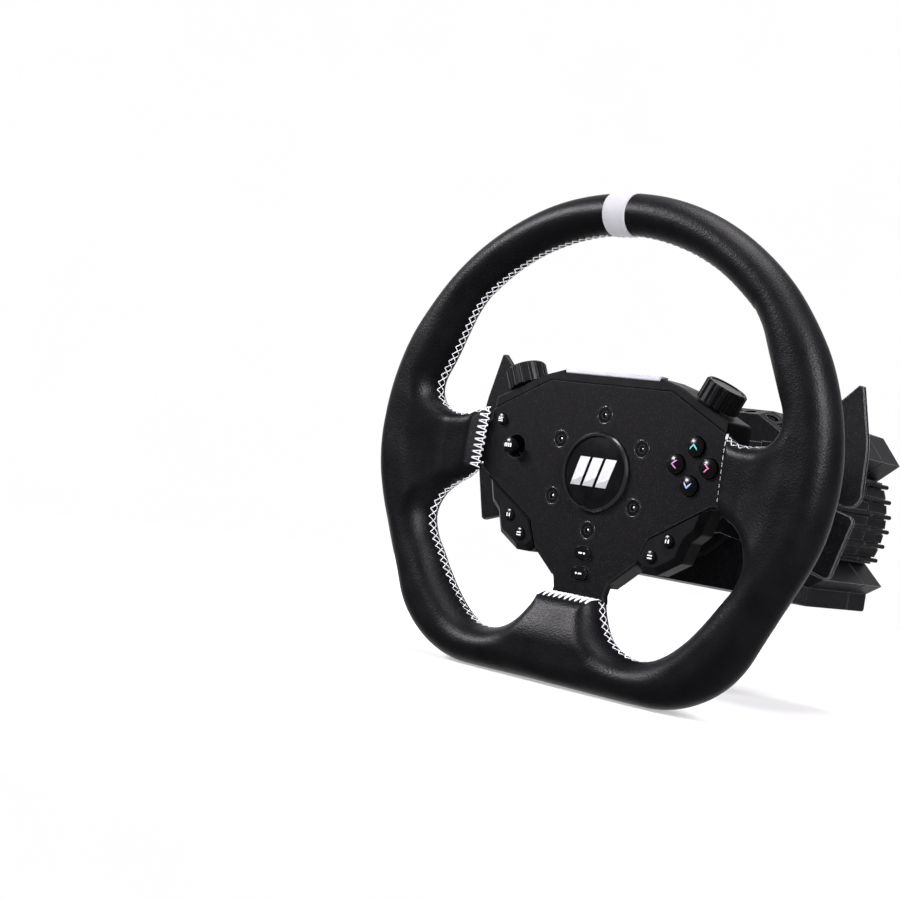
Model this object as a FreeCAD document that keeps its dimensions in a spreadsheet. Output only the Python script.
import FreeCAD, Part
import math
import os

# Racing wheel: a D-shaped leather rim on a button plate, held by a quick release on the shaft of a
# direct-drive motor base. Lengths are millimetres.
#
# Pieces are drawn in the wheel's frame: X to the driver's right, +Y away from the driver along the
# shaft, Z up, with the origin where the shaft axis meets the front of the face plate. Each piece is
# then placed so that the part's own origin is the centre of the bolt pattern under the base.

Vector = FreeCAD.Vector
doc = FreeCAD.newDocument("racing_wheel")

# ---------------------------------------------------------------- driving dimensions
SIZES = {
    "axis_height": 61.0,          # shaft axis above the underside of the base
    "face_offset": 142.0,         # face plate in front of the base's bolt pattern
    "plate_thickness": 5.0,
    "plate_gap": 0.4,             # gap line round the face plate
    "rim_plane": -10.0,           # centre plane of the rim
    "rim_top_radius": 168.2,      # outer outline of the rim
    "rim_side_radius": 139.0,
    "rim_corner_radius": 68.0,
    "rim_flat_height": 128.4,     # flat bottom below the axis
    "tube_width": 12.75,          # half sizes of the rim's oval section
    "tube_depth": 16.0,
    "core_width": 5.0,
    "core_thickness": 6.0,
    "band_width": 17.0,
    "screw_circle": 35.0,
    "screw_head_radius": 4.9,
    "screw_head_height": 1.9,
    "badge_radius": 22.0,
    "badge_ring_radius": 24.2,
    "button_radius": 5.8,
    "button_length": 11.8,
    "button_proud": 3.2,
    "small_button_radius": 3.4,
    "button_clearance": 0.4,
    "housing_depth": 25.0,
    "housing_wall": 3.0,
    "rear_housing_depth": 15.0,
    "knob_radius": 13.0,
    "knob_height": 13.0,
    "flute_radius": 1.5,
    "shoulder_tilt": 25.6,        # slope of the shoulders that carry the knobs, in degrees
    "adapter_radius": 27.5,
    "nose_radius": 19.9,
    "collar_radius": 35.0,
    "shaft_radius": 15.0,
    "running_clearance": 0.05,
    "paddle_thickness": 3.0,
    "paddle_plane": 58.0,         # front face of the blades
    "hinge_reach": 80.0,          # paddle hinge axis from the shaft axis
    "hinge_plane": 59.5,
    "hinge_radius": 3.6,
    "pin_radius": 1.5,
    "base_front": 100.0,
    "base_bevel": 16.0,
    "base_seam": 170.0,
    "base_back": 194.0,
    "seam_chamfer": 1.0,
    "cover_thickness": 5.0,
    "barrel_centre": 38.5,        # the finned sides are arcs about a line beside the shaft axis
    "barrel_height": -2.85,
    "barrel_radius": 55.7,
    "barrel_front": 118.0,
    "fin_reach": 3.0,
    "fin_thickness": 2.8,
    "fin_pitch": 9.62,
    "stator_radius": 50.0,
    "rotor_radius": 39.4,
    "mount_spacing_x": 110.0,
    "mount_spacing_y": 40.0,
    "mount_hole_radius": 3.0,     # M6 thread
}

sheet = doc.addObject("Spreadsheet::Sheet", "Sizes")
for row, (alias, value) in enumerate(SIZES.items(), start=1):
    sheet.set(f"A{row}", alias)
    sheet.set(f"B{row}", str(value))
    sheet.setAlias(f"B{row}", alias)
doc.recompute()


def size(alias):
    """The value of one cell of the sheet."""
    return float(getattr(sheet, alias))


PIECES = []
CUT_CHECKS = []


# ---------------------------------------------------------------- helpers
def piece(thing, label=None):
    """Register a finished sub-part under its label."""
    if label:
        thing.Label = label
    PIECES.append(thing)
    return thing


def in_wheel_frame(thing, x=0.0, y=0.0, z=0.0, rotation=None):
    """Place an object at a point of the wheel's frame."""
    if rotation:
        thing.Placement = FreeCAD.Placement(Vector(), rotation)
    thing.setExpression("Placement.Base.x", str(x))
    thing.setExpression("Placement.Base.y", f"{y} - Sizes.face_offset")
    thing.setExpression("Placement.Base.z", f"{z} + Sizes.axis_height")
    return thing


ALONG_SHAFT = FreeCAD.Rotation(Vector(1, 0, 0), -90)     # turns a primitive's Z axis to +Y


def body(label):
    """A PartDesign body drawn in the wheel's frame."""
    return in_wheel_frame(doc.addObject("PartDesign::Body", label))


def rounded(points):
    """Edges of a closed outline; a point may carry a third number, its corner radius."""
    corners = []
    count = len(points)
    for index, point in enumerate(points):
        here = Vector(point[0], point[1], 0)
        radius = point[2] if len(point) > 2 else 0
        if not radius:
            corners.append((here, here, None))
            continue
        before = Vector(*points[index - 1][:2], 0)
        after = Vector(*points[(index + 1) % count][:2], 0)
        back, ahead = (before - here).normalize(), (after - here).normalize()
        half = back.getAngle(ahead) / 2
        start, end = here + back * (radius / math.tan(half)), here + ahead * (radius / math.tan(half))
        centre = here + (back + ahead).normalize() * (radius / math.sin(half))
        corners.append((start, end, centre + (here - centre).normalize() * radius))
    edges = []
    for index, (start, end, middle) in enumerate(corners):
        if middle:
            edges.append(Part.Arc(start, middle, end))
        following = corners[(index + 1) % count][0]
        if (following - end).Length > 1e-6:
            edges.append(Part.LineSegment(end, following))
    return edges


def mirrored(points):
    """A full outline from its right half, listed from top to bottom."""
    left = [(-point[0], *point[1:]) for point in reversed(points) if abs(point[0]) > 1e-9]
    return list(points) + left


def moved_in(points, amounts):
    """An anticlockwise outline with its edges moved inwards; edge i starts at point i."""
    lines = []
    for index, amount in enumerate(amounts):
        start = Vector(*points[index][:2], 0)
        along = (Vector(*points[(index + 1) % len(points)][:2], 0) - start).normalize()
        lines.append((start + Vector(-along.y, along.x, 0) * amount, along))
    moved = []
    for index, point in enumerate(points):
        (first, back), (second, ahead) = lines[index - 1], lines[index]
        gap = second - first
        travel = (gap.x * ahead.y - gap.y * ahead.x) / (back.x * ahead.y - back.y * ahead.x)
        corner = first + back * travel
        moved.append((corner.x, corner.y, *point[2:]))
    return moved


def circle(x, z, radius):
    return [Part.Circle(Vector(x, z, 0), Vector(0, 0, 1), radius)]


def rectangle(x0, z0, x1, z1, radius=0):
    corner = (radius,) if radius else ()
    return rounded([(x0, z0, *corner), (x1, z0, *corner), (x1, z1, *corner), (x0, z1, *corner)])


def sketch_in(owner, start, loops, role="XZ_Plane"):
    """A sketch on one of the body's origin planes; `start` is its distance along +Y."""
    sketch = owner.newObject("Sketcher::SketchObject", f"{owner.Name}_sketch")
    origin_plane = next(item for item in owner.Origin.OriginFeatures if item.Role == role)
    sketch.AttachmentSupport = [(origin_plane, "")]
    sketch.MapMode = "FlatFace"
    sign = "-" if role == "XZ_Plane" else ""
    sketch.setExpression("AttachmentOffset.Base.z", f"{sign}({start})")
    for loop in loops:
        sketch.addGeometry(loop, False)
    return sketch


def pad(owner, start, depth, *loops):
    """Material from `start` over `depth` along +Y."""
    feature = owner.newObject("PartDesign::Pad", f"{owner.Name}_pad")
    feature.Profile = sketch_in(owner, start, loops)
    feature.setExpression("Length", str(depth))
    feature.Reversed = True
    return feature


def pocket(owner, start, depth, *loops):
    """A cut from `start` over `depth` along +Y; its volume is compared at the end."""
    before = owner.Tip
    feature = owner.newObject("PartDesign::Pocket", f"{owner.Name}_pocket")
    feature.Profile = sketch_in(owner, start, loops)
    feature.setExpression("Length", str(depth))
    CUT_CHECKS.append((before, feature))
    return feature


def bevel(owner, width, plane_y, keep=None):
    """Chamfer the edges that lie in one plane across the shaft."""
    doc.recompute()
    names = []
    for index, edge in enumerate(owner.Tip.Shape.Edges, start=1):
        flat = all(abs(point.y - plane_y) < 1e-4 for point in edge.discretize(3))
        if flat and (keep is None or keep(edge)):
            names.append(f"Edge{index}")
    base = owner.Tip
    feature = owner.newObject("PartDesign::Chamfer", f"{owner.Name}_chamfer")
    feature.Base = (base, names)
    feature.setExpression("Size", str(width))
    return feature


def primitive(kind, name, x=0, y=0, z=0, rotation=None, **sizes):
    """A Part primitive in the wheel's frame, with its sizes as expressions."""
    thing = in_wheel_frame(doc.addObject(f"Part::{kind}", name), x, y, z, rotation)
    for key, expression in sizes.items():
        if isinstance(expression, str):
            thing.setExpression(key, expression)
        else:
            setattr(thing, key, expression)
    return thing


def drum(name, start, length, radius, x=0, z=0):
    """A cylinder along the shaft."""
    return primitive("Cylinder", name, x, start, z, ALONG_SHAFT, Radius=str(radius), Height=str(length))


def block(name, corner, lengths):
    """A box from its lowest corner."""
    return primitive("Box", name, *corner, None,
                     Length=str(lengths[0]), Width=str(lengths[1]), Height=str(lengths[2]))


def cut(label, base, tool):
    result = doc.addObject("Part::Cut", label)
    result.Base, result.Tool = base, tool
    return result


def common(label, base, tool):
    result = doc.addObject("Part::Common", label)
    result.Base, result.Tool = base, tool
    return result


def fuse(label, *shapes):
    result = doc.addObject("Part::MultiFuse", label)
    result.Shapes = list(shapes)
    return result


def group(label, members):
    """Identical pieces that share one node as separate solids."""
    result = doc.addObject("Part::Compound", label)
    result.Links = members
    return result


def ring(label, start, length, outer, inner, x=0, z=0):
    """A plain ring along the shaft."""
    return cut(label, drum(f"{label}_outer", start, length, outer, x, z),
               drum(f"{label}_bore", start, length, inner, x, z))


# ---------------------------------------------------------------- outlines (x, z[, corner radius])
HALF_PLATE = [(45, 53.3, 2), (87, 31.5, 2), (89.5, -6.5, 3), (44.5, -34, 3), (38, -50, 4),
              (20.6, -64.6, 7), (18.8, -72, 3), (19.8, -77, 1)]
SHOULDERS = [(36, 60.3, 1), (51, 56, 2), (86.5, 39, 2), (87, -6)]
WING = [(82.5, -12), (45.3, -34.8), (38.5, -50.3), (42.5, -54, 2), (53, -54, 2), (68, -45, 2),
        (72.3, -32.3, 2), (78.2, -26.8, 2)]
HOUSING_FOOT = (18.5, -67.4, 1)
HALF_HOUSING_FRONT = SHOULDERS + WING[:1] + WING[:2:-1] + [WING[2], HOUSING_FOOT]
HALF_HOUSING_BACK = SHOULDERS + [(65, -25, 4), (43, -42.5, 4), (20, -51, 3)]
HALF_CAVITY_TOP = [(34, 57), (50, 52.8), (83.3, 36.5), (83.8, -4.5)]
HALF_WING_CAVITY = HALF_CAVITY_TOP + [(79.8, -13), (75.6, -25.5), (69.6, -31), (65.4, -43.2),
                                      (52.3, -51.3), (44.5, -51.3), (39.5, -47.5), (18, -64.5)]
HALF_CAVITY = HALF_CAVITY_TOP + [(75, -9), (62, -22), (40.5, -39.5), (19, -47.5)]
HALF_CASE = [(45, 57.2), (66, 46), (74, 55), (83.5, 53), (98, 36), (84, 24.5), (84, -30), (98, -43),
             (88, -49.5), (88, -61)]
HALF_CASE_FRONT = [(44.5, 53), (62.5, 43), (69, 45), (76, 45), (86, 30), (75, 21), (75, -26), (88, -38),
                   (78, -44), (78, -59)]
HALF_CASE_CAVITY = [(43, 53.5), (64, 41), (72, 48.5), (80, 48), (88, 36), (78, 27), (78, -32), (88, -42),
                    (82, -47), (82, -56)]
HALF_COVER = [(43.5, 54.2), (65, 42.6), (73, 51), (79, 50), (91, 36), (79, 26), (79, -31), (91, -42),
              (84, -48), (84, -57)]

FACE_BUTTONS = {"face_button_top": (67.5, 22.7), "face_button_left": (55.7, 11.3),
                "face_button_right": (78.3, 11.2), "face_button_bottom": (67.0, -0.3)}
WING_BUTTONS = {"left_wing_button_upper": (-59.6, -33.5), "left_wing_button_lower": (-49.2, -44),
                "right_wing_button_upper": (59.6, -33.5), "right_wing_button_lower": (49.2, -44)}
OVAL_BUTTONS = {"oval_button_upper": (0, -49), "oval_button_lower": (0, -61.3)}
MENU_BUTTON = (-78.2, 25.0)
STICK = (-64.6, 9.4)
OVAL_HALF = (6.0, 3.9)
KNOB_X, KNOB_Y, KNOB_LIFT = 69.3, 11.0, 1.2


def screw_places(count, radius, turn=0.0):
    """Points on a circle about the shaft; the first is at the top."""
    angles = [math.radians(turn + 360 * index / count) for index in range(count)]
    return [(radius * math.sin(angle), radius * math.cos(angle)) for angle in angles]


HUB_SCREWS = screw_places(6, size("screw_circle"))


def oval(x, z, grow=0.0):
    half_x, half_z = OVAL_HALF[0] + grow, OVAL_HALF[1] + grow
    return rectangle(x - half_x, z - half_z, x + half_x, z + half_z, half_z - 0.01)


def button_holes(owner, start, depth):
    """The openings that the caps pass through, in the plate or the housing behind it."""
    gap = size("button_clearance")
    loops = [circle(*place, size("button_radius") + gap) for place in FACE_BUTTONS.values()]
    loops.append(circle(*MENU_BUTTON, size("small_button_radius") + gap))
    loops += [oval(*place, gap) for place in OVAL_BUTTONS.values()]
    return pocket(owner, start, depth, *loops)


# ---------------------------------------------------------------- rim
def rim_outline(inset):
    """Right half of the D-shaped outline, from the top round to the bottom, moved inwards."""
    top, side, corner = (size(key) for key in ("rim_top_radius", "rim_side_radius", "rim_corner_radius"))
    blend = math.radians(60)                      # where the top arc meets the side arc
    lean = math.radians(26.5)                     # how far the lower side leans inwards
    side_centre = Vector(math.sin(blend), math.cos(blend), 0) * (top - side)
    outward = Vector(math.cos(lean), -math.sin(lean), 0)
    side_end = side_centre + outward * side
    corner_z = corner - size("rim_flat_height")
    corner_x = (outward.dot(side_end) - corner - outward.y * corner_z) / outward.x
    corner_centre = Vector(corner_x, corner_z, 0)

    def arc(centre, radius, first, last):
        spots = [centre + Vector(math.cos(angle), math.sin(angle), 0) * (radius - inset)
                 for angle in (first, (first + last) / 2, last)]
        return Part.Arc(*spots), spots[0], spots[2]

    quarter = math.pi / 2
    top_arc = arc(Vector(), top, quarter, quarter - blend)
    side_arc = arc(side_centre, side, quarter - blend, -lean)
    corner_arc = arc(corner_centre, corner, -lean, -quarter)
    bottom = Vector(0, corner_arc[2].y, 0)
    return [top_arc[0], side_arc[0], Part.LineSegment(side_arc[2], corner_arc[1]), corner_arc[0],
            Part.LineSegment(corner_arc[2], bottom)]


def whole_outline(inset):
    """The closed D-shaped outline."""
    flip = FreeCAD.Matrix()
    flip.scale(-1, 1, 1)
    edges = rim_outline(inset)
    for curve in rim_outline(inset):
        curve.transform(flip)
        edges.append(curve)
    return edges


def tube_half(owner):
    """Half of the rim's oval tube, swept from the top to the bottom."""
    path = sketch_in(owner, "Sizes.rim_plane", [rim_outline(size("tube_width"))])
    section = sketch_in(owner, 0, [], role="YZ_Plane")
    centre = Vector(size("rim_plane"), size("rim_top_radius") - size("tube_width"), 0)
    deep, wide = size("tube_depth"), size("tube_width")
    oval_section = Part.Ellipse(centre + Vector(deep, 0, 0), centre + Vector(0, wide, 0), centre)
    section.addGeometry(oval_section, False)
    tube = owner.newObject("PartDesign::AdditivePipe", f"{owner.Name}_tube")
    tube.Profile, tube.Spine = section, path
    return tube


def mirror_last(owner, features):
    """The same features on the left of the shaft."""
    doc.recompute()
    mirror = owner.newObject("PartDesign::Mirrored", f"{owner.Name}_mirror")
    mirror.Originals = features
    middle = next(item for item in owner.Origin.OriginFeatures if item.Role == "YZ_Plane")
    mirror.MirrorPlane = (middle, [""])
    owner.Tip = mirror
    return mirror


def build_rim():
    """Metal core, leather grip round it and the light band at the top of the rim."""
    core = piece(body("rim_core"))
    tube_middle = size("tube_width")
    ring_inset = tube_middle - size("core_width"), tube_middle + size("core_width")
    lug_depth = -size("rim_plane") + size("core_thickness") / 2
    core_front = "Sizes.rim_plane - Sizes.core_thickness / 2"
    pad(core, core_front, "Sizes.core_thickness", whole_outline(ring_inset[0]), whole_outline(ring_inset[1]))
    for side in (-1, 1):
        pad(core, core_front, lug_depth, rectangle(side * 96, -2, side * 146, 22))
    pad(core, core_front, lug_depth, rectangle(-15, -118, 15, -80))

    grip = body("rim_grip_outer")
    tube = tube_half(grip)
    spoke = rounded([(88, 33, 4), (101, 26.5, 14), (114, 27.5, 12), (128.5, 42, 12), (140, 62), (147, 40),
                     (148, -30), (136, -60), (124, -66), (117, -50, 20), (117.5, -36, 12),
                     (106, -20.5, 10), (88, -8.5, 2)])
    arm = pad(grip, "Sizes.rim_plane - 5", 22, spoke)
    mirror_last(grip, [tube, arm])
    foot = [(22, -75), (24.5, -86, 14), (46, -107, 12), (60, -107), (60, -120)]
    pad(grip, "Sizes.rim_plane - 6", 22, rounded(mirrored(foot)))

    band_cutter = block("band_cutter", ("-Sizes.band_width / 2", "Sizes.rim_plane - 30", 130),
                        ("Sizes.band_width", 60, 60))
    insert = fuse("rim_insert", core, build_face_plate(), band_cutter)
    piece(cut("rim_grip", grip, insert))

    sleeve = body("band_tube")
    mirror_last(sleeve, [tube_half(sleeve)])
    band_soft = common("band_soft", sleeve, band_cutter)
    piece(cut("centre_band", band_soft, core))


# ---------------------------------------------------------------- face plate and what is on it
def build_face_plate():
    """Aluminium plate with screw recesses, button openings and tabs that reach under the leather."""
    plate = piece(body("face_plate"))
    pad(plate, 0, "Sizes.plate_thickness", rounded(mirrored(HALF_PLATE)))
    bevel(plate, 0.6, 0)
    for side in (-1, 1):
        pad(plate, 0, "Sizes.plate_thickness", rectangle(side * 70, -3, side * 116, 23))
    pad(plate, 0, "Sizes.plate_thickness", rectangle(-16, -104, 16, -66))
    recesses = [circle(*place, 5.6) for place in HUB_SCREWS]
    pocket(plate, 0, 2, *recesses)
    pocket(plate, 0, "Sizes.plate_thickness", *[circle(*place, 2.75) for place in HUB_SCREWS])
    pocket(plate, 0, 1.5, circle(0, 0, size("badge_ring_radius") + 0.3))
    pocket(plate, 0, "Sizes.plate_thickness", circle(0, 0, 12))
    button_holes(plate, 0, "Sizes.plate_thickness")
    pocket(plate, 0, "Sizes.plate_thickness", circle(*STICK, 7.3))
    bevel(plate, 0.35, 0, keep=lambda edge: edge.Curve.TypeId == "Part::GeomCircle" and edge.Closed)
    return plate


def socket_screw(name, x, z, start, head_radius, head_height, shank_radius, shank_length):
    """A cap screw along the shaft, with a hexagon socket; its head starts at `start`."""
    head = drum(f"{name}_head", start, head_height, head_radius, x, z)
    shank = drum(f"{name}_shank", start, shank_length, shank_radius, x, z)
    socket = primitive("Prism", f"{name}_socket", x, start, z, ALONG_SHAFT, Polygon=6,
                       Circumradius=f"{head_radius} * 0.5", Height="1.3")
    return cut(name, fuse(f"{name}_solid", head, shank), socket)


def build_plate_trim():
    """Hub screws, badge and its ring."""
    screws = [socket_screw(f"hub_screw_{index}", *place, 0.1, "Sizes.screw_head_radius",
                           "Sizes.screw_head_height", 2.4, 12) for index, place in enumerate(HUB_SCREWS)]
    piece(group("hub_screws", screws))
    bezel = ring("badge_ring_plain", -2.4, 3.9, "Sizes.badge_ring_radius", "Sizes.badge_radius + 0.1")
    softener = primitive("Cone", "badge_ring_slope", 0, -2.4, 0, ALONG_SHAFT, Height="6",
                         Radius1="Sizes.badge_ring_radius - 0.9", Radius2="Sizes.badge_ring_radius + 5.1")
    piece(common("badge_ring", bezel, softener))
    disc = drum("badge_disc", -2.6, 4.1, "Sizes.badge_radius")
    crown = primitive("Sphere", "badge_crown", 0, 157.2, 0, None, Radius="160")
    boss = drum("badge_boss", 1.5, 3, 11.8)
    piece(fuse("hub_badge", common("badge_cap", disc, crown), boss))


def round_button(label, x, z, radius, proud, dome):
    """A cap with a domed front, free to slide in its hole."""
    stem = drum(f"{label}_stem", f"-({proud})", "Sizes.button_length - Sizes.button_proud + " + proud,
                radius, x, z)
    ball = primitive("Sphere", f"{label}_dome", x, f"{dome} - ({proud})", z, None, Radius=str(dome))
    return piece(common(label, stem, ball))


def build_buttons():
    """Face, menu, wing and oval buttons."""
    for label, place in FACE_BUTTONS.items():
        round_button(label, *place, "Sizes.button_radius", "Sizes.button_proud", 10.5)
    round_button("menu_button", *MENU_BUTTON, "Sizes.small_button_radius", "Sizes.button_proud - 0.6", 8.2)
    for label, place in WING_BUTTONS.items():
        round_button(label, *place, "Sizes.small_button_radius", "Sizes.button_proud", 8.2)
    for label, place in OVAL_BUTTONS.items():
        button = piece(body(label))
        pad(button, -2.0, "Sizes.button_length - Sizes.button_proud + 2", oval(*place))
        bevel(button, 0.7, -2.0)


def build_thumb_stick():
    """A stick that tilts in a gimbal ring, and the socket that holds the ring."""
    x, z = STICK
    pivot = 8.5                                    # depth of the two crossing tilt axes
    inner = ring("stick_ring", pivot - 1.4, 2.8, 5.0, 3.3, x, z)
    posts = [primitive("Cylinder", f"stick_post_{name}", x, pivot, f"{z} + {low}", None, Radius="0.8",
                       Height="2.0") for name, low in (("low", -6.6), ("high", 4.6))]
    gimbal = fuse("gimbal_solid", inner, *posts)
    across = primitive("Cylinder", "gimbal_bore", x - 6, pivot, z, FreeCAD.Rotation(Vector(0, 1, 0), 90),
                       Radius="0.65 + Sizes.running_clearance", Height="12")
    piece(cut("joystick_gimbal", gimbal, across))

    ball = primitive("Sphere", "stick_ball", x, pivot, z, None, Radius="2.7")
    rod = drum("stick_rod", -5.5, pivot + 4.5, 1.7, x, z)
    cap = common("stick_cap", drum("stick_cap_disc", -8.2, 4.2, 4.6, x, z),
                 primitive("Sphere", "stick_cap_dome", x, 0.75, z, None, Radius="9"))
    cross = primitive("Cylinder", "stick_cross", x - 4.6, pivot, z, FreeCAD.Rotation(Vector(0, 1, 0), 90),
                      Radius="0.65", Height="9.2")
    head = fuse("stick_head", rod, cap)
    piece(fuse("joystick_stick", fuse("stick_pivot", ball, cross), head))

    sleeve = ring("socket_sleeve", "Sizes.plate_thickness", 7.5, 8.4, 5.7, x, z)
    holes = primitive("Cylinder", "socket_bore", x, pivot, z - 9, None, Height="18",
                      Radius="0.8 + Sizes.running_clearance")
    piece(cut("joystick_socket", sleeve, holes))


# ---------------------------------------------------------------- housings behind the plate
def grown_plate():
    """The plate's outline with the gap line round it."""
    gap = size("plate_gap")
    grown = [(x + gap, z + (gap if z > 0 else -gap), radius) for x, z, radius in HALF_PLATE]
    return rounded(mirrored(grown))


def build_front_housing():
    """Shell whose rim surrounds the plate and whose raised wings carry the thumb buttons."""
    wing_front, wing_slope, wing_back, depth = -1.3, 4.0, 14.5, size("housing_depth")
    shell = body("front_shell")
    shelf = SHOULDERS + WING[:3] + [HOUSING_FOOT]
    slope_end = wing_front + wing_slope
    pad(shell, slope_end, wing_back - slope_end, rounded(mirrored(HALF_HOUSING_FRONT)))
    pad(shell, 0.5, slope_end - 0.5, rounded(mirrored(shelf)))
    bevel(shell, 0.9, 0.5, keep=lambda edge: edge.BoundBox.ZMin > -7)
    pad(shell, wing_back, depth - wing_back, rounded(mirrored(HALF_HOUSING_BACK)))
    face = moved_in(WING, [0, 0] + [wing_slope] * 6)
    for side in (-1, 1):
        outlines = [rounded([(side * point[0], *point[1:]) for point in points]) for points in (face, WING)]
        loft(shell, *outlines, wing_front, slope_end)
    pocket(shell, 0, "Sizes.plate_thickness", grown_plate())
    pocket(shell, 9, 4, rounded(mirrored(HALF_WING_CAVITY)))
    pocket(shell, 9, "Sizes.housing_depth - 9", rounded(mirrored(HALF_CAVITY)))
    pocket(shell, "Sizes.plate_thickness", 4, circle(0, 0, 43))
    button_holes(shell, "Sizes.plate_thickness", 6)
    pocket(shell, "Sizes.plate_thickness", 4, circle(*STICK, 8.4))
    gap = size("small_button_radius") + size("button_clearance")
    pocket(shell, wing_front, 9 - wing_front, *[circle(*place, gap) for place in WING_BUTTONS.values()])
    pocket(shell, 0, 8, rounded([(-35.2, 58.3), (35.2, 58.3), (36.5, 62), (-36.5, 62)]))
    for x, z in ((-74, -3), (-64, -16), (64, -16), (-78, 14), (78, 24)):
        pad(shell, 8.5, 2.9, circle(x, z, 2.6))
    sockets = [encoder_bore(side) for side in (-1, 1)]
    piece(cut("front_housing", shell, fuse("encoder_holes", *sockets)))

    strip = piece(body("light_strip"))
    pad(strip, 0.3, 7.7, rounded([(-34.8, 58.3), (34.8, 58.3), (35.8, 61.4), (-35.8, 61.4)]))
    bevel(strip, 0.8, 0.3)


def loft(owner, first, last, start, end):
    """A straight-sided transition between two outlines with the same number of corners."""
    feature = owner.newObject("PartDesign::AdditiveLoft", f"{owner.Name}_loft")
    feature.Profile = sketch_in(owner, start, [first])
    feature.Sections = [sketch_in(owner, end, [last])]
    feature.Ruled = True
    return feature


def build_rear_housing():
    """Back half of the button housing: its sides slope in towards the hub adapter."""
    wide = [(44, 58), (86.3, 38.6), (86.6, -6), (65, -25), (43, -42.5), (20, -51)]
    narrow = [(34, 49), (71, 32), (72, -8), (58, -22), (38, -38), (20, -46)]
    shell = piece(body("rear_housing"))
    start, end = "Sizes.housing_depth", "Sizes.housing_depth + Sizes.rear_housing_depth"
    loft(shell, rounded(mirrored(wide)), rounded(mirrored(narrow)), start, end)
    inner_narrow = [(point[0] * 0.93, point[1] * 0.93) for point in narrow]
    pocket(shell, "Sizes.housing_depth", "Sizes.rear_housing_depth - Sizes.housing_wall",
           rounded(mirrored(inner_narrow)))
    pocket(shell, "Sizes.housing_depth", "Sizes.rear_housing_depth", circle(0, 0, size("adapter_radius")))


def build_board():
    """Circuit board with one switch under each cap."""
    board = piece(body("button_board"))
    half = [(50, 31), (80, 28), (80, -5), (72, -10), (68, -29), (52.5, -47), (39, -45.5), (20, -45.5),
            (20, -62)]
    pad(board, 11.4, 1.6, rounded(mirrored(half)))
    pocket(board, 11.4, 1.6, circle(0, 0, 44))
    pocket(board, 11.4, 1.6, circle(*STICK, 9))
    places = [*FACE_BUTTONS.values(), MENU_BUTTON, *OVAL_BUTTONS.values(), *WING_BUTTONS.values()]
    for x, z in places:
        pad(board, 9.9, 1.6, rectangle(x - 1.8, z - 1.8, x + 1.8, z + 1.8))


# ---------------------------------------------------------------- rotary knobs
def shoulder_frame(side, along=0.0):
    """A placement on the sloping shoulder, its Z axis square to the slope, `along` above it."""
    tilt = math.radians(size("shoulder_tilt"))
    surface_z = 56 - (KNOB_X - 51) * math.tan(tilt)
    normal = Vector(side * math.sin(tilt), 0, math.cos(tilt))
    place = Vector(side * KNOB_X, KNOB_Y, surface_z) + normal * along
    place += Vector(0, -size("face_offset"), size("axis_height"))
    return FreeCAD.Placement(place, FreeCAD.Rotation(Vector(0, 1, 0), side * size("shoulder_tilt")))


def encoder_bore(side):
    """The hole in the shoulder for an encoder's bush."""
    hole = doc.addObject("Part::Cylinder", f"encoder_bore_{side + 1}")
    hole.Radius, hole.Height = 3.5, 14
    hole.Placement = shoulder_frame(side, -7)
    return hole


def build_knob(label, side):
    """Fluted knob and the encoder that it turns."""
    knob = piece(doc.addObject("PartDesign::Body", f"{label}_knob"))
    knob.Placement = shoulder_frame(side, KNOB_LIFT)
    barrel = knob.newObject("PartDesign::Pad", f"{label}_barrel")
    barrel.Profile = sketch_in(knob, 0, [circle(0, 0, size("knob_radius"))], role="XY_Plane")
    barrel.setExpression("Length", "Sizes.knob_height")
    doc.recompute()
    rim = [f"Edge{index}" for index, edge in enumerate(barrel.Shape.Edges, start=1)
           if edge.BoundBox.ZMin > size("knob_height") - 0.01]
    top = knob.newObject("PartDesign::Chamfer", f"{label}_top_edge")
    top.Base = (barrel, rim)
    top.Size = 1.1
    dish = knob.newObject("PartDesign::Pocket", f"{label}_dish")
    dish.Profile = sketch_in(knob, "Sizes.knob_height", [circle(0, 0, size("knob_radius") - 2.4)],
                             role="XY_Plane")
    dish.Length = 0.6
    bore = knob.newObject("PartDesign::Pocket", f"{label}_bore")
    bore.Profile = sketch_in(knob, 0, [circle(0, 0, 3.0 + size("running_clearance"))], role="XY_Plane")
    bore.Length = 9.3
    bore.Reversed = True
    flute = knob.newObject("PartDesign::Pocket", f"{label}_flute")
    flute.Profile = sketch_in(knob, 0, [circle(size("knob_radius") + 0.35, 0, size("flute_radius"))],
                              role="XY_Plane")
    flute.Type = "ThroughAll"
    flute.Reversed = True
    doc.recompute()
    flutes = knob.newObject("PartDesign::PolarPattern", f"{label}_flutes")
    flutes.Originals = [flute]
    axis = next(item for item in knob.Origin.OriginFeatures if item.Role == "Z_Axis")
    flutes.Axis = (axis, [""])
    flutes.Angle, flutes.Occurrences = 360, 16
    knob.Tip = flutes
    CUT_CHECKS.extend([(top, dish), (dish, bore), (bore, flute), (flute, flutes)])

    case = doc.addObject("Part::Box", f"{label}_encoder_case")
    case.Length, case.Width, case.Height = 11, 7, 6
    behind_web = Vector(-5.5, 9.2 - KNOB_Y, 0)
    case.Placement = shoulder_frame(side, -10.2) * FreeCAD.Placement(behind_web, FreeCAD.Rotation())
    bush = doc.addObject("Part::Cylinder", f"{label}_encoder_bush")
    bush.Radius, bush.Height = 3.5, 5.1
    bush.Placement = shoulder_frame(side, -4.4)
    spindle = doc.addObject("Part::Cylinder", f"{label}_encoder_spindle")
    spindle.Radius, spindle.Height = 3.0, 13.0
    spindle.Placement = shoulder_frame(side, -3.5)
    piece(fuse(f"{label}_encoder", case, bush, spindle))


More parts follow.
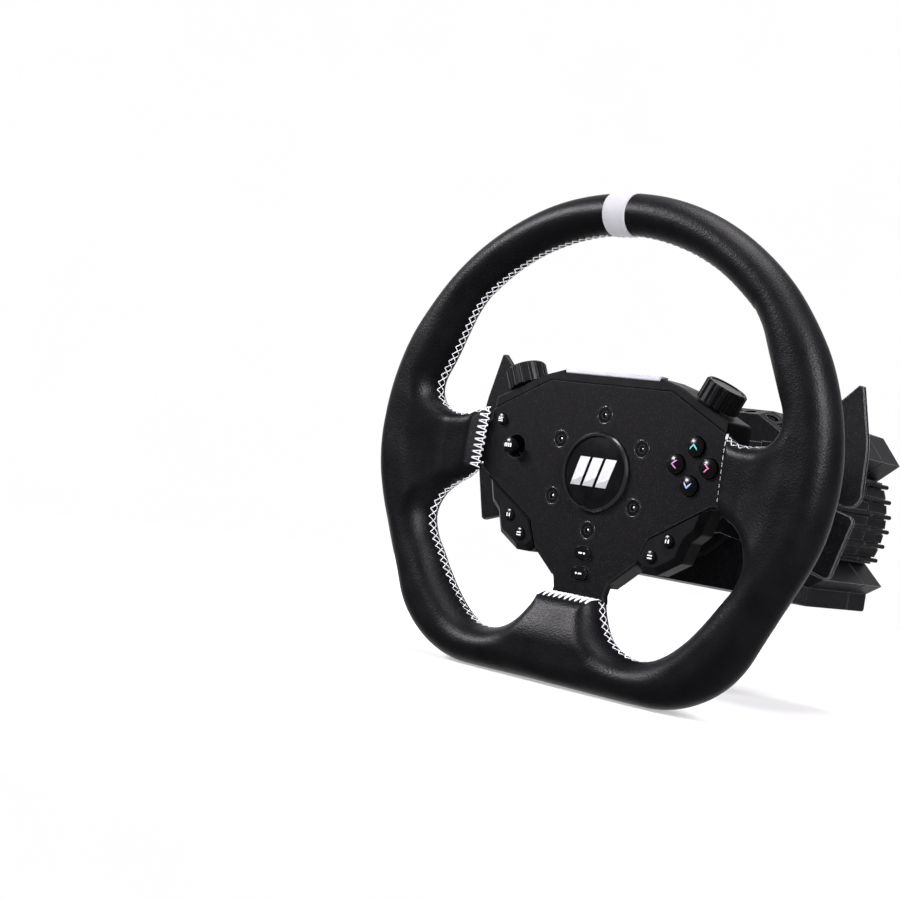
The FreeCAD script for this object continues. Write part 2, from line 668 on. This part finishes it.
# ---------------------------------------------------------------- hub, paddles and quick release
def build_hub():
    """Spool that joins the face plate to the quick release, and the sliding release collar."""
    flange = drum("adapter_flange", "Sizes.plate_thickness", 8, 43)
    tube = drum("adapter_tube", "Sizes.plate_thickness", 75, "Sizes.adapter_radius")
    bore = drum("adapter_bore", 40, 40, "Sizes.nose_radius")
    holes = [drum(f"adapter_hole_{index}", "Sizes.plate_thickness", 7.1, 2.4, *place)
             for index, place in enumerate(HUB_SCREWS)]
    piece(cut("hub_adapter", fuse("adapter_solid", flange, tube), fuse("adapter_cuts", bore, *holes)))

    nose = drum("nose_plug", 40, 44, "Sizes.nose_radius")
    shoulder = drum("nose_shoulder", 84, 8, 24)
    piece(fuse("quick_release_nose", nose, shoulder))

    collar = body("collar_ring")
    pad(collar, 74, 9.6, circle(0, 0, size("collar_radius")), circle(0, 0, size("adapter_radius") + 0.4))
    bevel(collar, 1.2, 74, keep=lambda edge: edge.BoundBox.XMax > 30)
    bevel(collar, 1.2, 83.6, keep=lambda edge: edge.BoundBox.XMax > 30)
    grips = [drum(f"collar_grip_{index}", 74, 9.6, 2.2, *place)
             for index, place in enumerate(screw_places(20, size("collar_radius") + 1.0))]
    piece(cut("release_collar", collar, fuse("collar_grips", *grips)))


HALF_UPPER_PADDLE = [(77.6, 25.5), (86, 27), (100, 45, 10), (124, 64, 4), (132.6, 72.4, 1),
                     (135.4, 72, 1), (143.6, 38, 60), (144.4, -1.8, 8), (102, 12.6, 4), (90, 12.2),
                     (77.6, 12.2)]
HALF_LOWER_PADDLE = [(77.6, -8.6), (92, -8.6, 4), (103, 6.5, 6), (139.6, -3.3, 2), (141.4, -6.2, 2),
                     (132, -40, 2.5), (129.5, -41, 2), (116, -36.8, 6), (92, -22), (77.6, -22)]


def build_paddle(label, side, outline, low, high):
    """A flat blade with the barrel that it hinges on."""
    blade = body(f"{label}_blade")
    flipped = [(side * point[0], *point[1:]) for point in outline]
    pad(blade, "Sizes.paddle_plane", "Sizes.paddle_thickness", rounded(flipped))
    bevel(blade, 0.5, size("paddle_plane"))
    reach = side * size("hinge_reach")
    barrel = primitive("Cylinder", f"{label}_barrel", reach, "Sizes.hinge_plane", low, None,
                       Radius="Sizes.hinge_radius", Height=str(high - low))
    bore = primitive("Cylinder", f"{label}_bore", reach, "Sizes.hinge_plane", low - 5, None,
                     Radius="Sizes.pin_radius + Sizes.running_clearance", Height=str(high - low + 10))
    piece(cut(f"{label}_paddle", fuse(f"{label}_solid", blade, barrel), bore))


def build_paddles():
    """Carrier plate on the adapter, four paddles, their pins and the magnets that hold them back."""
    carrier = body("carrier_plate")
    half = [(24, 30, 8), (60, 34, 8), (97, 33, 3), (97, 8, 3), (88, 2, 3), (90, -4, 3), (97, -10, 3),
            (97, -24, 3), (84, -30, 4), (50, -24, 8), (24, -30, 8)]
    pad(carrier, 65, 4, rounded(mirrored(half)), circle(0, 0, size("adapter_radius")))
    ears = []
    for side in (-1, 1):
        for index, (low, high) in enumerate(((-30, -22.4), (-8.2, 11.8), (27.2, 34))):
            ears.append(block(f"ear_{side + 1}_{index}", (side * 80 - 4, 55.7, low), (8, 9.3, high - low)))
    bores = [primitive("Cylinder", f"carrier_bore_{side + 1}", side * size("hinge_reach"),
                       "Sizes.hinge_plane", -40, None, Radius="Sizes.pin_radius", Height="80")
             for side in (-1, 1)]
    piece(cut("paddle_carrier", fuse("carrier_solid", carrier, *ears), fuse("carrier_bores", *bores)))
    pins = [primitive("Cylinder", f"pin_{side + 1}", side * size("hinge_reach"), "Sizes.hinge_plane", -30,
                      None, Radius="Sizes.pin_radius", Height="64") for side in (-1, 1)]
    piece(group("paddle_pins", pins))
    magnets = [drum(f"magnet_{side + 1}_{height + 16}", 61.4, 3.6, 3, side * 92, height)
               for side in (-1, 1) for height in (-16, 20)]
    piece(group("paddle_magnets", magnets))
    for name, side in (("left", -1), ("right", 1)):
        build_paddle(f"{name}_upper", side, HALF_UPPER_PADDLE, 12.2, 25.5)
        build_paddle(f"{name}_lower", side, HALF_LOWER_PADDLE, -22, -8.6)


# ---------------------------------------------------------------- motor and shaft
def build_motor():
    """Shaft, rotor and encoder disc turn; stator, housing, bearings and boards stay in the base."""
    piece(drum("motor_shaft", 92, 86, "Sizes.shaft_radius"))
    piece(ring("motor_rotor", 118, 34, "Sizes.rotor_radius", "Sizes.shaft_radius"))
    piece(ring("encoder_disc", 172.5, 1.6, 24, "Sizes.shaft_radius"))
    stator = ring("stator_core", 115, 40, "Sizes.stator_radius", 40)
    slots = [drum(f"stator_slot_{index}", 114, 42, 1.6, *place)
             for index, place in enumerate(screw_places(18, 41))]
    piece(cut("motor_stator", stator, fuse("stator_slots", *slots)))
    tube = ring("motor_tube", 114, 42, 53, "Sizes.stator_radius")
    piece(cut("motor_housing", tube, block("motor_tube_flat", (-60, 110, -60), (120, 50, 9))))
    bore = "Sizes.shaft_radius + Sizes.running_clearance"
    piece(ring("front_bearing", "Sizes.base_front", 9, 24, bore))
    piece(ring("rear_bearing", 156, 9, 24, bore))
    plate = piece(body("rear_bearing_plate"))
    pad(plate, 156, 6, rectangle(-72, -50, 72, 40, 6), circle(0, 0, 24))
    cap = body("front_cap")
    pad(cap, 95, 5, circle(0, 0, 46), circle(0, 0, 24.6))
    bevel(cap, 2, 95, keep=lambda edge: edge.BoundBox.XMax > 40)
    cap_grooves = ring("cap_groove", 94, 2.2, 40, 37)
    piece(cut("bearing_cap", cap, cap_grooves))
    board = piece(body("encoder_board"))
    pad(board, 176, 1.6, rectangle(-30, -26, 30, 26, 3), circle(0, 0, size("shaft_radius") + 2))
    control = piece(body("control_board"))
    pad(control, 183, 1.6, rectangle(-70, -42, 70, 40, 3))
    for x, z in ((-50, 20), (-20, 24), (20, 24), (50, 18)):
        pad(control, 184.4, 6, circle(x, z, 5))


# ---------------------------------------------------------------- base casing
def hexagons(rows, per_row, across):
    """Closed hexagon outlines in a honeycomb, centred on the origin."""
    pitch, loops = across + 1.5, []
    radius = across / math.sqrt(3)
    for row in range(rows):
        shift = (row % 2) * pitch / 2
        for column in range(per_row - row % 2):
            x = (column - (per_row - 1) / 2) * pitch + shift
            y = (row - (rows - 1) / 2) * pitch * math.sqrt(3) / 2
            corners = [(x + radius * math.sin(math.pi * step / 3), y + radius * math.cos(math.pi * step / 3))
                       for step in range(6)]
            loops.append(rounded(corners))
    return loops


def bevel_frame(x, z, turn=0.0):
    """A placement half way along the casing's sloping front bevel, with Z square to it."""
    rise, run = HALF_CASE[0][1] - HALF_CASE_FRONT[0][1], size("base_bevel")
    slope = FreeCAD.Rotation(Vector(1, 0, 0), math.degrees(math.atan2(rise, run)))
    place = Vector(x, size("base_front") + run / 2 - size("face_offset"), z + size("axis_height"))
    return FreeCAD.Placement(place, FreeCAD.Rotation(Vector(0, 1, 0), turn) * slope)


def build_vent():
    """Honeycomb grille set into the bevel; returns the window that it fills."""
    top = (HALF_CASE[0][1] + HALF_CASE_FRONT[0][1]) / 2
    vent = piece(doc.addObject("PartDesign::Body", "honeycomb_vent"))
    vent.Placement = bevel_frame(0, top)
    panel = vent.newObject("PartDesign::Pad", "vent_panel")
    panel.Profile = sketch_in(vent, -3.2, [rectangle(-40, -7, 40, 7, 2)], role="XY_Plane")
    panel.Length = 3
    holes = vent.newObject("PartDesign::Pocket", "vent_holes")
    holes.Profile = sketch_in(vent, 0, hexagons(1, 8, 8.0), role="XY_Plane")
    holes.Type = "ThroughAll"
    CUT_CHECKS.append((panel, holes))
    window = doc.addObject("Part::Box", "vent_window")
    window.Length, window.Width, window.Height = 80, 14, 16
    window.Placement = bevel_frame(0, top) * FreeCAD.Placement(Vector(-40, -7, -12), FreeCAD.Rotation())
    return window


def shoulder_recesses():
    """Shallow hexagons that carry the honeycomb row on round the casing's shoulders."""
    (x0, z0), (x1, z1) = [[(outer + inner) / 2 for outer, inner in zip(*ends)]
                          for ends in zip(HALF_CASE[:2], HALF_CASE_FRONT[:2])]
    fall = math.degrees(math.atan2(z0 - z1, x1 - x0))
    recesses = []
    for side in (-1, 1):
        for share in (0.28, 0.71):
            hexagon = doc.addObject("Part::Prism", f"shoulder_recess_{len(recesses)}")
            hexagon.Polygon, hexagon.Circumradius, hexagon.Height = 6, 4.6, 8
            middle = bevel_frame(side * (x0 + (x1 - x0) * share), z0 + (z1 - z0) * share, side * fall)
            sunk = FreeCAD.Placement(Vector(0, 0, -2), FreeCAD.Rotation(Vector(0, 0, 1), 90))
            hexagon.Placement = middle * sunk
            recesses.append(hexagon)
    return recesses


def mount_bores(name, start, height):
    """The four upright bores of the bolt pattern under the base."""
    half_x, half_y = size("mount_spacing_x") / 2, size("mount_spacing_y") / 2
    corners = [(side * half_x, end * half_y) for side in (-1, 1) for end in (-1, 1)]
    return [primitive("Cylinder", f"{name}_{index}", x, f"{y} + Sizes.face_offset", start, None,
                      Radius="Sizes.mount_hole_radius", Height=str(height))
            for index, (x, y) in enumerate(corners)]


def build_casing():
    """Front and rear casings that share one star-shaped outline, and the rear cover."""
    window = build_vent()
    case, front = rounded(mirrored(HALF_CASE)), rounded(mirrored(HALF_CASE_FRONT))
    cavity = rounded(mirrored(HALF_CASE_CAVITY))
    shell = body("front_case")
    full = "Sizes.base_front + Sizes.base_bevel"
    loft(shell, front, case, "Sizes.base_front", full)
    pad(shell, full, f"Sizes.base_seam - ({full})", case)
    bevel(shell, "Sizes.seam_chamfer", size("base_seam"), keep=lambda edge: edge.Length > 3)
    pocket(shell, full, f"Sizes.base_seam - ({full})", cavity)
    pocket(shell, "Sizes.base_front + 6", "Sizes.base_bevel", circle(0, 0, 53))
    pocket(shell, "Sizes.base_front", "Sizes.base_bevel", circle(0, 0, 24))
    pocket(shell, "Sizes.base_front + 6", "Sizes.base_bevel", rectangle(-38, 30, 38, 44))
    holes = mount_bores("case_hole", -70, 16)
    piece(cut("front_casing", shell, fuse("front_case_cuts", window, *shoulder_recesses(), *holes)))

    rear = piece(body("rear_casing"))
    pad(rear, "Sizes.base_seam", "Sizes.base_back - Sizes.base_seam", case, cavity)
    bevel(rear, "Sizes.seam_chamfer", size("base_seam"))
    bevel(rear, 1.5, size("base_back"), keep=lambda edge: edge.Length > 30)

    cover = piece(body("rear_cover"))
    pad(cover, "Sizes.base_back", "Sizes.cover_thickness", rounded(mirrored(HALF_COVER)))
    bevel(cover, 1.5, size("base_back") + size("cover_thickness"), keep=lambda edge: edge.Length > 12)
    openings = [rectangle(-34, -40, 34, -24), circle(60, 10, 7.4)]
    pocket(cover, "Sizes.base_back", "Sizes.cover_thickness", *openings)
    slots = [rectangle(x - 1.5, 2, x + 1.5, 40) for x in range(-40, 41, 8)]
    pocket(cover, "Sizes.base_back", "Sizes.cover_thickness", *slots)

    plate = body("mount_plate_blank")
    pad(plate, 116, 52, rectangle(-66, -56, 66, -51))
    piece(cut("mount_plate", plate, fuse("mount_threads", *mount_bores("thread", -57, 8))))


def build_heat_sink(label, side):
    """Finned segment of the motor barrel, between the upper and lower corners of the casing."""
    front, back = size("barrel_front"), size("base_back")
    centre, radius, middle = size("barrel_centre"), size("barrel_radius"), size("barrel_height")
    thickness, inner_face, slot = size("fin_thickness"), 84, 0.6

    def bar(name, start, end, height, thickness, length):
        """A straight bar along the shaft, between two distances to the side."""
        corner = (start if side > 0 else -end, front, middle + height - thickness / 2)
        return block(f"{label}_{name}", corner, (end - start, length, thickness))

    barrel = drum(f"{label}_barrel", front, back - front, "Sizes.barrel_radius", side * centre, middle)
    segment = common(f"{label}_segment", barrel, bar("keep", inner_face, 100, 0, 53.5, back - front))
    fins, roots = [], []
    for index in range(6):
        height = (index - 2.5) * size("fin_pitch")
        skin = centre + math.sqrt(radius ** 2 - height ** 2)
        tip = centre + math.sqrt((radius + size("fin_reach")) ** 2 - height ** 2)
        roots.append(bar(f"root_{index}", skin - 1.2, 100, height, thickness + 2 * slot, back - front))
        end, length = tip - thickness / 2, back - front + 1
        fins.append(bar(f"fin_{index}", inner_face + 1, end, height, thickness, length))
        fins.append(drum(f"{label}_tip_{index}", front, length, thickness / 2, side * end, middle + height))
    slotted = cut(f"{label}_slotted", segment, fuse(f"{label}_roots", *roots))
    groove = ring(f"{label}_groove", 166.5, 1.6, radius + 6, radius - 1.4, side * centre, middle)
    piece(cut(f"{label}_heat_sink", fuse(f"{label}_fins", slotted, *fins), groove))


def build_rear_parts():
    """Port block, power button and the cover's screws."""
    block_body = body("port_shell")
    pad(block_body, 186, 14, rectangle(-34, -40, 34, -24))
    ports = [rectangle(-28, -35.5, -16, -28.5, 1), rectangle(-10, -35, 2, -29, 2)]
    pocket(block_body, 192, 8, *ports, circle(20, -32, 5.2))
    piece(block_body, "port_block")
    button = piece(body("power_button"))
    pad(button, 189, 12, circle(60, 10, 7.0))
    bevel(button, 0.8, 201)
    places = [(-74, 42), (74, 42), (-70, -50), (70, -50)]
    screws = []
    for index, (x, z) in enumerate(places):
        head = drum(f"cover_screw_{index}_head", 199, 2.4, 3.4, x, z)
        slot = primitive("Prism", f"cover_screw_{index}_socket", x, 200.4, z, ALONG_SHAFT, Polygon=6,
                         Circumradius="1.7", Height="1.2")
        screws.append(cut(f"cover_screw_{index}", head, slot))
    piece(group("cover_screws", screws))


# ---------------------------------------------------------------- the whole model
build_rim()
build_plate_trim()
build_buttons()
build_thumb_stick()
build_front_housing()
build_rear_housing()
build_board()
build_knob("left", -1)
build_knob("right", 1)
build_hub()
build_paddles()
build_motor()
build_casing()
build_heat_sink("left", -1)
build_heat_sink("right", 1)
build_rear_parts()
doc.recompute()

failed = [item.Name for item in doc.Objects if {"Invalid", "Error"} & set(item.State)]
if failed:
    raise RuntimeError(f"objects that failed: {failed}")
for before, after in CUT_CHECKS:
    if before.Shape.Volume - after.Shape.Volume < 1.0:
        raise RuntimeError(f"{after.Name} cuts nothing")

os.makedirs("parts", exist_ok=True)
for finished in PIECES:
    shape = finished.Shape
    if shape.isNull() or not shape.isValid() or not shape.Solids:
        raise RuntimeError(f"{finished.Label} has no valid solid")
    shape.exportStep(f"parts/{finished.Label}.step")
    print(f"{finished.Label}: {len(shape.Solids)} solid(s), {shape.Volume / 1000:.2f} cm3")
print(len(PIECES), "sub-parts")
